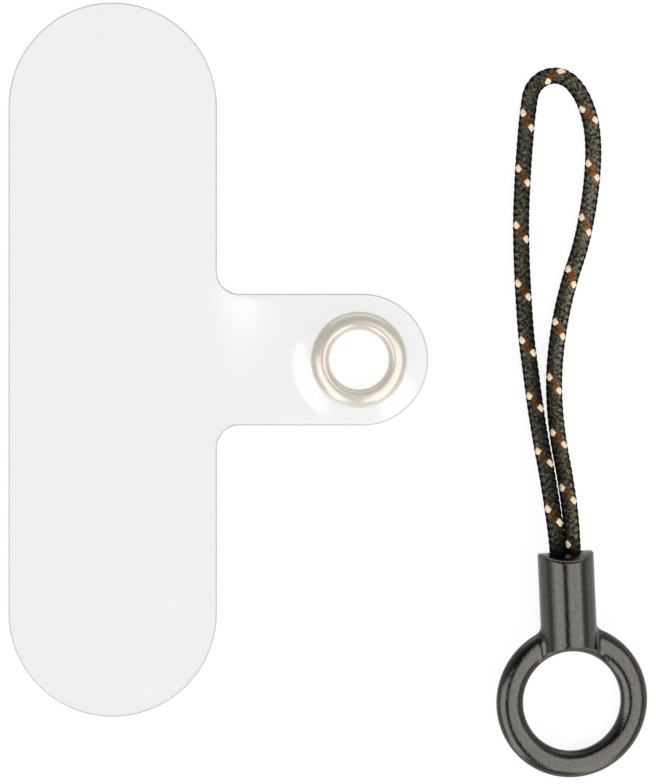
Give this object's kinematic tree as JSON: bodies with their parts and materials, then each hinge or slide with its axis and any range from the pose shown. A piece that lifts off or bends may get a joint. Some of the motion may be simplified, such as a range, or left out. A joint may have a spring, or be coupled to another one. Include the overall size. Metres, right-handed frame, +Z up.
{
  "type": "phone ring strap with clear tether tab",
  "caption": "Clear T-shaped phone tether tab with a metal eyelet, beside its braided cord loop, whose ends are fixed in a gunmetal ferrule with a ring.",
  "frame": {"origin": "on the surface that both halves lie on, under the middle of the box round the tab and the ring end", "axes": "+Y along the tab's body, away from the ring; +X from the tab towards the cord loop; +Z up from the surface"},
  "size_m": [0.0536, 0.065, 0.0054],
  "materials": {
    "clear_film": "clear TPU film, die cut, glossy",
    "nickel": "nickel-plated pressed brass, warm and bright",
    "gunmetal": "black-nickel plated zinc casting, satin with a fine grain",
    "braid": "sixteen-strand polyester braid, black with one pale orange tracer strand"
  },
  "bodies": {
    "root": {"tether_tab": "clear_film", "eyelet": "nickel", "ring_end": "gunmetal", "cord_loop": "braid"}
  },
  "joints": []
}
